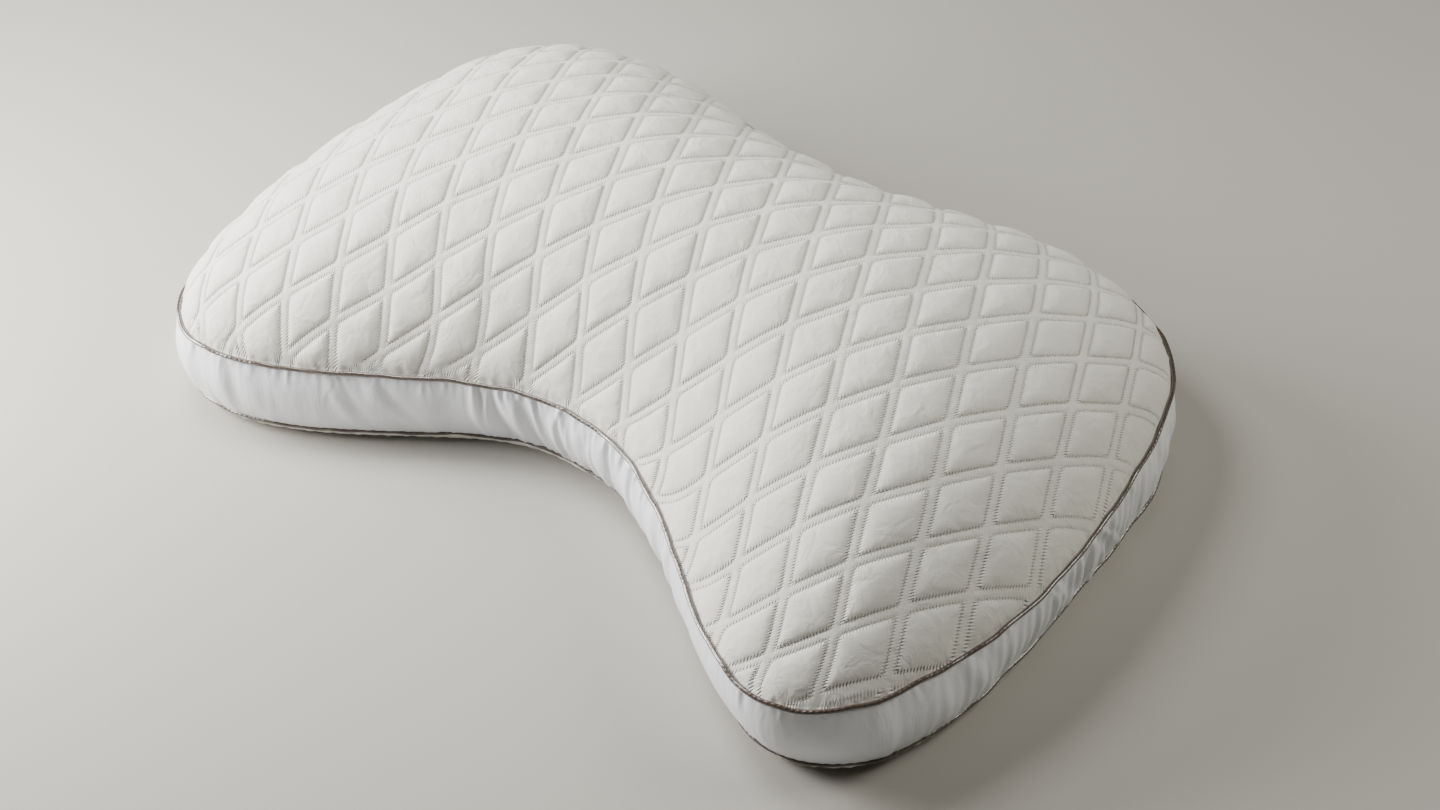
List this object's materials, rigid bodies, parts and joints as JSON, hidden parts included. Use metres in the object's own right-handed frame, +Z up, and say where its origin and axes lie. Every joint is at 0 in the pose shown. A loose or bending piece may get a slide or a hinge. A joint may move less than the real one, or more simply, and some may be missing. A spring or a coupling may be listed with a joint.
{
  "type": "cervical pillow",
  "caption": "Butterfly shaped cervical pillow with a shoulder recess, a domed top quilted in double-line diamonds, a satin side band and piped seams.",
  "frame": {"origin": "under the middle of the bounding box, on the plane that the pillow rests on", "axes": "+X along the long side towards the right lobe, +Y away from the shoulder recess, +Z up"},
  "size_m": [0.6296, 0.4077, 0.1435],
  "materials": {
    "quilted_knit": "warm off-white knit, matte, quilted in double-line diamonds",
    "white_satin": "cool white satin with a soft sheen and small gathers",
    "plain_knit": "warm off-white knit, matte, plain",
    "brown_satin": "taupe brown satin over a round cord"
  },
  "bodies": {
    "root": {"quilted_top": "quilted_knit", "side_band": "white_satin", "bottom_panel": "plain_knit", "top_piping": "brown_satin", "bottom_piping": "brown_satin"}
  },
  "joints": []
}
